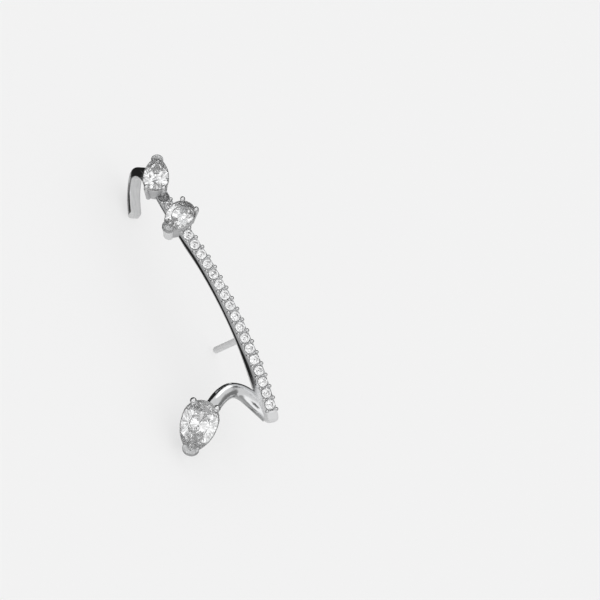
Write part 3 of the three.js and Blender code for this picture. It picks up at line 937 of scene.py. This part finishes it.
setting = {
    "depth": 2.5, "wall": 0.34, "topScale": 0.98, "baseScale": 0.82, "rim": 0.07,
    "top": 0.1,             # how far the wall ends under the girdle
    "seat": 0.5,            # where its inner face begins to lean out
    "footBack": 0.03,       # how far its foot lies towards the round end, for its length
    "clawRise": 0.42, "clawAngle": 41.0, "clawSides": 20, "clawRings": 20,
    "veeDroop": 0.3,        # how far the prong's ends lie lower than its tip
    "veeOver": 0.155, "veeIn": 0.2, "veeRise": 0.3, "veeBevel": 0.2,
    "satinBelow": -0.28,    # the wheel polishes down to here, under the girdle
}


def toWorn(pear, points):
    # from the stone's own side, tip and face to the worn frame
    place = pear["place"]
    turn = np.column_stack([place["side"], place["tip"], place["face"]])
    lying = np.asarray(points, float) @ turn.T * mm + place["centre"]
    return (lying - layShift) @ layTurn / mm


def coated(pear, points, faces):
    # satin under the girdle, polished above it
    coats = [int(np.mean([points[i][2] for i in face]) < setting["satinBelow"]) for face in faces]
    return toWorn(pear, points), faces, coats


def basketMesh(pear):
    # the wall round the stone, drawn as a rounded strip carried round the outline
    outline = pearOutline(pear)
    depth, rim, top = setting["depth"], setting["rim"], setting["top"]
    wall, corner = setting["wall"] / (pear["width"] / 2), rim / (pear["width"] / 2)

    def scaleAt(z):
        return between(setting["topScale"], setting["baseScale"], -z / depth)

    foot = scaleAt(-depth)
    levels = [(scaleAt(z), z) for z in (-top - rim, -depth * 0.3, -depth * 0.6, -depth + rim)]
    levels += [(foot - corner * 0.3, -depth + rim * 0.3), (foot - corner, -depth)]
    levels += [(foot - wall + corner, -depth), (foot - wall, -depth + rim)]
    inside = len(levels) - 1
    levels += [(scaleAt(z) - wall, z) for z in (-depth * 0.6, -depth * 0.3, -setting["seat"])]
    levels += [(scaleAt(-top) - corner * 1.2, -top), (scaleAt(-top) - corner * 0.3, -top - rim * 0.3)]
    shift = -pear["length"] * setting["footBack"]
    rings = [
        np.column_stack([outline * s + [0, shift * (1 - s)], np.full(len(outline), z)])
        for s, z in levels
    ]
    points, faces = ringMesh(rings, closed=True)
    coats = [int(inside <= k // len(outline) < len(levels) - 1) for k in range(len(faces))]
    return toWorn(pear, points), faces, coats


def clawMesh(pear, sign):
    # a round claw up the outside of the basket, with a ball for its end
    radius = pear["width"] / 2
    middle = -pear["length"] / 2 + radius
    turn = math.radians(setting["clawAngle"])
    aim = np.array([sign * math.sin(turn), -math.cos(turn), 0.0])
    depth = setting["depth"]
    # how far out, as a share of the radius, and how high
    knots = [
        (0.80, -depth * 0.97), (0.90, -depth * 0.55), (1.02, -0.5), (1.07, 0.05), (1.0, setting["clawRise"]),
    ]
    path = pathThrough([np.array([0, middle, z]) + aim * radius * reach for reach, z in knots], 8)
    count = setting["clawRings"]
    at, ways = pointsAt(path, np.linspace(0, pathLength(path), count))
    side = np.cross(aim, [0, 0, 1.0])
    claw = pear["claw"]
    turns = turnsOf(setting["clawSides"])
    rings = []
    for k, (p, way) in enumerate(zip(at, ways)):
        out = np.cross(side, way)
        r = claw * (0.95 - 0.2 * smoothStep(k / (count - 1)))
        rings.append(p + np.outer(np.cos(turns) * r, side) + np.outer(np.sin(turns) * r, out))
    points, faces = ringMesh(rings)
    ball = ballMesh(at[-1], claw, claw * 0.92, 24, 14)
    return [coated(pear, points, faces), coated(pear, *ball)]


def ballMesh(centre, wide, tall, sides, rings):
    turns = turnsOf(sides)
    rows = []
    for a in np.linspace(-math.pi / 2, math.pi / 2, rings + 1)[1:-1]:
        r, z = wide * math.cos(a), tall * math.sin(a)
        rows.append(np.column_stack([np.cos(turns) * r, np.sin(turns) * r, np.full(sides, z)]) + centre)
    points, faces = ringMesh(rows)
    points[-2] = centre + np.array([0, 0, -tall])
    points[-1] = centre + np.array([0, 0, tall])
    return points, faces


def veeMesh(pear):
    # the prong that folds over the tip: an arch outside the point, and a V inside it
    tip = pear["length"] / 2
    down = tip
    while pearHalf(down, pear["length"], pear["width"], pear["blunt"]) < pear["vee"]:
        down -= 0.01
    over, into, vee, depth = setting["veeOver"], setting["veeIn"], pear["vee"], setting["depth"]
    turns = np.linspace(0, math.pi, 25)
    across = np.sign(np.cos(turns)) * np.abs(np.cos(turns)) ** 0.9 * (vee + over)
    rise = np.clip(np.sin(turns), 0, 1) ** 1.1 * (tip + over * 0.7 - down)
    foot = (vee - into * 0.8, down - into * 0.5)
    inner = [(-foot[0], foot[1]), (0, tip - into * 2), foot]
    section = np.vstack([np.column_stack([across, down + rise]), inner])
    # height, and the section's scale there
    levels = [(-depth, setting["baseScale"]), (-depth * 0.5, 0.9)]
    levels += [(-0.3, 1.0), (0.12, 1.0), (setting["veeRise"], 0.96)]
    rings = [np.column_stack([section * s, np.full(len(section), z)]) for z, s in levels]
    rings[-1][:, 2] *= 1 - setting["veeDroop"] * (section[:, 0] / (vee + over)) ** 2
    return coated(pear, *ringMesh(rings))


def bevelled(piece, width, segments=3, angle=30):
    edge = piece.modifiers.new("edge", "BEVEL")
    edge.width, edge.segments = width * mm, segments
    edge.limit_method, edge.angle_limit = "ANGLE", math.radians(angle)
    edge.use_clamp_overlap = True
    plainMesh(piece)
    piece.data.shade_smooth()
    piece.data.set_sharp_from_angle(angle=math.radians(50))
    return piece


metalPieces = [barPiece, beadPiece]
stonePieces = []
for name, pear in pears.items():
    stonePieces.append(makePearStone(name, pear))
    claws = clawMesh(pear, 1) + clawMesh(pear, -1)
    metalPieces.append(newPiece(name + "_basket", [basketMesh(pear)], [basketMetal, insideMetal], 50))
    metalPieces.append(newPiece(name + "_claws", claws, [grainMetal, basketMetal], 50))
    prong = newPiece(name + "_tip_prong", [veeMesh(pear)], [burnishedMetal, satinMetal])
    metalPieces.append(bevelled(prong, setting["veeBevel"]))
print("pear stones and settings made")


# tail arm, ear hook and post

def ovalSection(width, thickness, sides, roundness):
    # 1 is a true oval, and less is nearer to a rectangle
    turns = turnsOf(sides)

    def bulge(v):
        return np.sign(v) * np.abs(v) ** roundness

    return np.column_stack([bulge(np.cos(turns)) * width / 2, bulge(np.sin(turns)) * thickness / 2])


def roundedRun(rings, centre, ahead, way, steps=6):
    # closes a wire with a soft round end
    last = rings[-1]
    for a in np.radians(np.linspace(0, 90, steps + 1)[1:]):
        rings.append(centre + way * ahead * math.sin(a) + (last - centre) * max(0.02, math.cos(a) ** 0.7))


arm = {
    "thickness": 1.35, "sides": 48, "roundness": 0.92, "rings": 90,
    "rootLeft": 1.2,        # how far from the toe's end its root lies
    "rootReach": 0.5,       # and how far past the bar's middle it may go
    # x, y, z and width
    "stations": [
        (8.4, 1.5, -12.0, 2.0), (7.6, 1.9, -11.1, 2.1), (6.57, 2.1, -10.2, 2.05), (5.5, 2.1, -9.5, 1.9),
        (4.58, 2.0, -9.22, 1.8), (3.66, 1.8, -9.33, 1.8), (2.76, 1.6, -9.88, 1.8), (1.97, 1.4, -10.69, 1.8),
        (1.38, 1.3, -11.55, 1.75), (1.05, 1.25, -12.25, 1.7),
    ],
}
hook = {
    "width": 1.35, "thickness": 1.14, "sides": 48, "roundness": 0.36, "rings": 90, "endLength": 0.36,
    "satinFrom": 0.46,          # share of its length from which the face to the ear is satin
    "satinFace": (48, 132),     # and where that face lies round its section, in degrees
    # x, y, z
    "stations": [
        (-4.39, 4.9, 14.59), (-4.68, 5.9, 15.56), (-4.93, 7.0, 16.36), (-5.03, 8.3, 16.72),
        (-5.05, 9.6, 16.5), (-4.96, 10.5, 15.7), (-4.92, 10.9, 14.53), (-4.92, 10.8, 13.24),
        (-4.96, 10.4, 12.1),
    ],
}
post = {"radius": 0.39, "start": (5.15, 0.8, -3.15), "endY": 11.0, "chamfer": 0.15, "sides": 40}


def grainOf(section, lengths):
    # across, along and through the wire, with the two end points after the rings
    rows = [np.column_stack([section[:, 0], np.full(len(section), s), section[:, 1]]) for s in lengths]
    return np.vstack(rows + [(0, lengths[0], 0), (0, lengths[-1], 0)])


def armMesh():
    path = pathThrough(arm["stations"])
    lengths = np.linspace(0, pathLength(path), arm["rings"])
    at, ways = pointsAt(path, lengths)
    section = ovalSection(1.0, arm["thickness"], arm["sides"], arm["roundness"])
    rings = []
    for row, way in zip(at, ways):
        out = square(frontWay, way)
        side = np.cross(out, way)
        rings.append(row[:3] + np.outer(section[:, 0] * row[3], side) + np.outer(section[:, 1], out))
    # the root ends inside the toe, short of its far wall
    (toeRow,), (toeWay,) = pointsAt(barPath, [barLength - arm["rootLeft"]])
    across = np.cross(square(frontWay, toeWay), toeWay)
    across *= math.copysign(1.0, (at[0, :3] - at[-1, :3]) @ across)
    for k, ring in enumerate(rings):
        over = np.maximum((ring - toeRow[:3]) @ across - arm["rootReach"], 0.0)
        rings[k] = ring - np.outer(over, across)
    points, faces = ringMesh(rings)
    return points, faces, [0] * len(faces), grainOf(section, lengths)


def hookMesh():
    path = pathThrough(hook["stations"])
    lengths = list(np.linspace(0, pathLength(path), hook["rings"]))
    at, ways = pointsAt(path, lengths)
    section = ovalSection(hook["width"], hook["thickness"], hook["sides"], hook["roundness"])
    rings = []
    for p, way in zip(at, ways):
        side = square(np.array([1.0, 0, 0]), way)
        out = np.cross(way, side)
        rings.append(p + np.outer(section[:, 0], side) + np.outer(section[:, 1], out))
    roundedRun(rings, at[-1], hook["endLength"], ways[-1])
    lengths += list(lengths[-1] + np.linspace(0, hook["endLength"], len(rings) - len(lengths) + 1)[1:])
    points, faces = ringMesh(rings)
    first, last = (hook["sides"] * a / 360 for a in hook["satinFace"])
    start = hook["satinFrom"] * hook["rings"]
    coats = []
    for k in range(len(faces)):
        ring, turn = divmod(k, hook["sides"])
        coats.append(int(ring >= hook["rings"] - 1 or (ring >= start and first <= turn + 0.5 <= last)))
    return points, faces, coats, grainOf(section, lengths)


def postMesh():
    x, y, z = post["start"]
    r, c = post["radius"], post["chamfer"]
    turns = turnsOf(post["sides"])
    ends = [(y, r), (post["endY"] - c, r), (post["endY"] - c * 0.3, r - c * 0.5), (post["endY"], r - c)]
    rings = []
    for at, radius in ends:
        rings.append(np.column_stack([
            x + radius * np.sin(turns), np.full(post["sides"], at), z + radius * np.cos(turns),
        ]))
    return ringMesh(rings)


metalPieces.append(newPiece("tail_arm", [armMesh()], [drawnMetal], 50))
metalPieces.append(newPiece("ear_hook", [hookMesh()], [drawnMetal, drawnSatin], 50))
metalPieces.append(newPiece("post", [postMesh()], [satinMetal], 35))
print("arm, hook and post made")


# what each piece stands for

for piece in metalPieces:
    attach(piece, "root")
    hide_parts("climber_frame")
for piece, pear in zip(stonePieces, pears.values()):
    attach(piece, "root")
    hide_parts(pear["node"])
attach(paveStones, "root")
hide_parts(*paveNodes)


# studio

studio = {
    "floorTone": 0.35, "floorGlow": 0.585, "floorHalf": 3.0,
    "lens": 1000.0, "sensor": 36.0, "frameWidth": 68.97,
    "aimRight": 11.03, "aimUp": 0.80, "aimAt": (0.0, 0.0, 0.0),
    "viewAzimuth": -19.0, "viewElevation": -9.0,    # as worn
}


def cameraAxes():
    # the worn view turned with the climber as it lies
    a, e = math.radians(studio["viewAzimuth"]), math.radians(studio["viewElevation"])
    back = np.array([math.sin(a) * math.cos(e), -math.cos(a) * math.cos(e), math.sin(e)])
    right = unit(np.cross([0, 0, 1.0], back))
    up = np.cross(back, right)
    return layWay(right), layWay(up), layWay(back)


def makeCamera():
    right, up, back = cameraAxes()
    data = bpy.data.cameras.new("camera")
    data.lens = studio["lens"]
    data.sensor_width = studio["sensor"]
    width = studio["frameWidth"] * mm
    distance = width / 2 / (data.sensor_width / 2 / data.lens)
    target = layDown([studio["aimAt"]])[0] + (right * studio["aimRight"] + up * studio["aimUp"]) * mm
    camera = bpy.data.objects.new("camera", data)
    bpy.context.scene.collection.objects.link(camera)
    turn = Matrix(np.column_stack([right, up, back]).tolist()).to_4x4()
    camera.matrix_world = Matrix.Translation(Vector(target + back * distance)) @ turn
    data.clip_start, data.clip_end = 0.01, 20.0
    bpy.context.scene.camera = camera


def makeFloor():
    mesh = bpy.data.meshes.new("floor")
    s = studio["floorHalf"]
    mesh.from_pydata([(-s, -s, 0), (s, -s, 0), (s, s, 0), (-s, s, 0)], [], [(0, 1, 2, 3)])
    material = bpy.data.materials.new("paleFloor")
    material.use_nodes = True
    shader = material.node_tree.nodes["Principled BSDF"]
    tone = studio["floorTone"]
    shader.inputs["Base Color"].default_value = (tone, tone, tone, 1)
    shader.inputs["Roughness"].default_value = 1.0
    shader.inputs["Specular IOR Level"].default_value = 0.0
    shader.inputs["Emission Color"].default_value = (1, 1, 1, 1)
    shader.inputs["Emission Strength"].default_value = studio["floorGlow"]
    mesh.materials.append(material)
    floor = bpy.data.objects.new("floor", mesh)
    bpy.context.scene.collection.objects.link(floor)
    floor.visible_glossy = False
    floor.visible_transmission = False


# base: the room between the cards; soft: what dull surfaces get; plain: the wall behind
tent = {"base": 0.016, "soft": 0.9, "plain": 0.88}
# what shows through a stone: a patchy room, so that every facet finds its own tone
sparkle = {"scale": 8.0, "low": 0.5, "high": 1.35, "from": 0.4, "to": 0.6}
# cards round the climber: turn goes right from the camera, at 0, to behind the climber,
# at 180, and rise goes up from the line of sight; a later card covers an earlier one
cards = [
    # turn, rise, half angle, softness, level
    (132.0, 28.0, 22.0, 12.0, 0.13),     # dim walls of the room
    (-92.0, 30.0, 16.0, 12.0, 0.1),
    (62.0, -54.0, 24.0, 10.0, 0.36),     # pale table top, right
    (0.0, 0.0, 64.0, 12.0, 0.68),        # the tent in front
    (-6.0, -38.0, 30.0, 9.0, 0.33),      # its shaded lower side
    (0.0, 0.0, 24.0, 14.0, 1.0),         # its lamp, round the lens
    (7.0, 8.0, 6.0, 8.0, 0.14),          # the opening for the lens
    (50.0, 58.0, 14.0, 6.0, 1.25),       # window overhead
    (96.0, -6.0, 32.0, 10.0, 0.2),       # grey card, right
    (150.0, -32.0, 20.0, 6.0, 0.36),     # paler card behind it
    (-98.0, -21.0, 24.0, 4.0, 0.36),     # grey card, left
    (-118.0, -15.0, 12.5, 2.0, 0.36),    # its far end
    (-156.0, -3.0, 10.0, 1.5, 0.55),     # pale card, behind and left
    (180.0, -47.0, 37.0, 4.0, 0.5),      # pale table top behind
    (-60.0, -75.0, 25.0, 6.0, 0.42),     # pale table top below
]


def cardWay(turn, rise):
    right, up, back = cameraAxes()
    t, r = math.radians(turn), math.radians(rise)
    return right * math.sin(t) * math.cos(r) + up * math.sin(r) + back * math.cos(t) * math.cos(r)


def cardShade(tree, coords):
    # the cards' tone in every direction
    link = tree.links.new
    base = addNode(tree, "ShaderNodeRGB", (-900, 0))
    base.outputs[0].default_value = (tent["base"], tent["base"], tent["base"], 1)
    shade = base.outputs[0]
    for k, (turn, rise, half, soft, level) in enumerate(cards):
        near = addNode(tree, "ShaderNodeVectorMath", (-700 + 200 * k, -300))
        near.operation = "DOT_PRODUCT"
        near.inputs[1].default_value = cardWay(turn, rise)
        edge = addNode(tree, "ShaderNodeMapRange", (-600 + 200 * k, -300))
        edge.interpolation_type = "SMOOTHSTEP"
        edge.inputs["From Min"].default_value = math.cos(math.radians(half + soft))
        edge.inputs["From Max"].default_value = math.cos(math.radians(half))
        factor, under, card, mixed = mixNode(tree, (-500 + 200 * k, 0), "RGBA")
        card.default_value = (level, level, level, 1)
        link(coords, near.inputs[0])
        link(near.outputs["Value"], edge.inputs["Value"])
        link(edge.outputs[0], factor)
        link(shade, under)
        shade = mixed
    return shade


def sparkleTone(tree, coords):
    patches = addNode(tree, "ShaderNodeTexNoise", (1400, 400), Scale=sparkle["scale"], Detail=1.0)
    tone = addNode(tree, "ShaderNodeMapRange", (1600, 400))
    for key, value in (("From Min", "from"), ("From Max", "to"), ("To Min", "low"), ("To Max", "high")):
        tone.inputs[key].default_value = sparkle[value]
    tree.links.new(coords, patches.inputs["Vector"])
    tree.links.new(patches.outputs["Fac"], tone.inputs["Value"])
    return tone.outputs[0]


def makeWorld():
    # mirrors see the cards, stones the patchy room, dull surfaces an even soft light, the camera a plain wall
    world = bpy.data.worlds.new("tent")
    bpy.context.scene.world = world
    world.use_nodes = True
    tree = world.node_tree
    tree.nodes.clear()
    link = tree.links.new
    coords = addNode(tree, "ShaderNodeTexCoord", (-1200, 0)).outputs["Generated"]
    ray = addNode(tree, "ShaderNodeLightPath", (1800, 300))
    light = addNode(tree, "ShaderNodeBackground", (2000, 0))
    link(cardShade(tree, coords), light.inputs["Color"])
    through = addNode(tree, "ShaderNodeBackground", (1800, 400))
    link(sparkleTone(tree, coords), through.inputs["Color"])
    others = [("Is Transmission Ray", through)]
    for kind, level in (("Is Diffuse Ray", tent["soft"]), ("Is Camera Ray", tent["plain"])):
        even = addNode(tree, "ShaderNodeBackground", (2000 + 200 * len(others), -200))
        even.inputs["Color"].default_value = (level, level, level, 1)
        others.append((kind, even))
    shown = light.outputs[0]
    for k, (kind, other) in enumerate(others):
        pick = addNode(tree, "ShaderNodeMixShader", (2200 + 200 * k, 0))
        link(ray.outputs[kind], pick.inputs[0])
        link(shown, pick.inputs[1])
        link(other.outputs[0], pick.inputs[2])
        shown = pick.outputs[0]
    out = addNode(tree, "ShaderNodeOutputWorld", (2900, 0))
    link(shown, out.inputs[0])


makeCamera()
makeFloor()
makeWorld()
scene = bpy.context.scene
scene.view_settings.view_transform = "Standard"
scene.cycles.max_bounces = 32
scene.cycles.glossy_bounces = 24
scene.cycles.transmission_bounces = 24
scene.cycles.caustics_reflective = True
scene.cycles.caustics_refractive = True
print("studio made")
